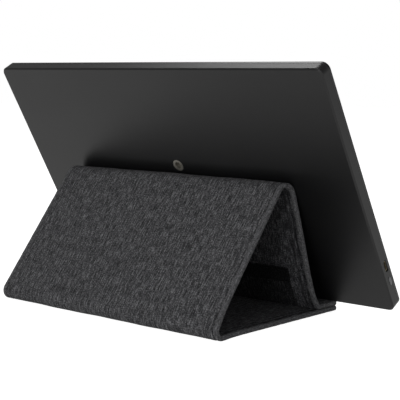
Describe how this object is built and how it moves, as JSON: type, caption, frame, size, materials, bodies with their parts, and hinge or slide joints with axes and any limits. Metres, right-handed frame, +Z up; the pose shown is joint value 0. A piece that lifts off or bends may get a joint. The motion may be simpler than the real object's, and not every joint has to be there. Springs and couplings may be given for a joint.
{
  "type": "portable monitor with cover",
  "caption": "Slim portable monitor leaning on its fabric pouch cover, which is folded into a triangular stand and opens flat; port, power key and tripod insert on the housing.",
  "frame": {"origin": "on the floor, under the middle of the whole object's box", "axes": "+X along the monitor's width with the port on the -X side, +Y from the screen side to the stand side, +Z up"},
  "size_m": [0.3603, 0.1664, 0.209],
  "materials": {
    "housing": "moulded PC-ABS, fine horizontal line texture, matt",
    "bezel": "moulded PC-ABS, fine matt texture",
    "screen_glass": "anti-glare polariser on glass, dark when off",
    "film": "stacked PET films",
    "acrylic": "clear cast acrylic",
    "reflector": "white PET sheet",
    "lamps": "narrow board with phosphor lamps",
    "tray": "pressed sheet",
    "circuit_board": "solder mask",
    "shield": "tinned sheet",
    "ribbon": "polyimide ribbon",
    "port_metal": "nickel-plated, warm tint",
    "port_tongue": "moulded",
    "key": "moulded, satin",
    "switch": "moulded",
    "insert_metal": "turned, dark nickel",
    "screws": "black zinc",
    "melange_fabric": "charcoal melange weave, polyurethane coated",
    "pocket_fabric": "charcoal weave inside",
    "edge_binding": "piped and stitched edge",
    "lining": "dark smooth lining",
    "tape": "black woven tape",
    "stiff_board": "grey board",
    "stiffener_strip": "plastic strip",
    "magnets": "nickel-plated discs"
  },
  "bodies": {
    "lip": {"lip_skin": "melange_fabric", "lip_stiffener": "stiffener_strip", "lip_lining": "lining", "lip_binding": "edge_binding", "lip_magnets": "magnets", "foot_fold": "melange_fabric"},
    "front_panel": {"front_skin": "melange_fabric", "front_board": "stiff_board", "front_pocket_wall": "pocket_fabric", "front_lining": "lining", "closing_tape": "tape", "front_binding": "edge_binding", "ridge_fold": "melange_fabric"},
    "rear_panel": {"rear_skin": "melange_fabric", "rear_board": "stiff_board", "rear_pocket_wall": "pocket_fabric", "rear_binding": "edge_binding", "ridge_rear_fold": "melange_fabric", "rear_fold": "melange_fabric"},
    "base_panel": {"base_skin": "melange_fabric", "base_board": "stiff_board", "base_pocket_wall": "pocket_fabric", "base_binding": "edge_binding", "base_magnets": "magnets", "heel_base_fold": "melange_fabric"},
    "monitor": {"rear_cover": "housing", "front_bezel": "bezel", "lcd_glass": "screen_glass", "optical_films": "film", "light_guide": "acrylic", "reflector_sheet": "reflector", "led_bar": "lamps", "panel_tray": "tray", "main_board": "circuit_board", "shield_can": "shield", "timing_board": "circuit_board", "panel_ribbon": "ribbon", "usb_c_shell": "port_metal", "usb_c_tongue": "port_tongue", "key_switch": "switch", "tripod_insert": "insert_metal", "board_screws": "screws"},
    "power_key": {"power_key": "key"}
  },
  "joints": [
    {"name": "cover_ridge_fold", "type": "hinge", "parent": "front_panel", "child": "rear_panel", "pos_m": [0.003, -0.00754, 0.11397], "axis": [1, 0, 0], "range_deg": [0, 120.37]},
    {"name": "cover_foot_fold", "type": "hinge", "parent": "lip", "child": "front_panel", "pos_m": [0.003, -0.05471, 0.00645], "axis": [1, 0, 0], "range_deg": [-68.52, 0]},
    {"name": "cover_heel_fold", "type": "hinge", "parent": "rear_panel", "child": "base_panel", "pos_m": [0.003, 0.08144, 0.0043], "axis": [1, 0, 0], "range_deg": [0, 128.15]},
    {"name": "monitor_lift", "type": "slide", "parent": "lip", "child": "monitor", "axis": [0, 0.497, 0.8678], "range_m": [0, 0.15]},
    {"name": "power_key_press", "type": "slide", "parent": "monitor", "child": "power_key", "axis": [1, 0, 0], "range_m": [0, 0.0004], "stiffness_N_per_m": 400}
  ],
  "couplings": [
    {"joint": "cover_foot_fold", "follows": "cover_ridge_fold", "ratio": -0.56918},
    {"joint": "cover_heel_fold", "follows": "cover_ridge_fold", "ratio": 1.0645}
  ]
}
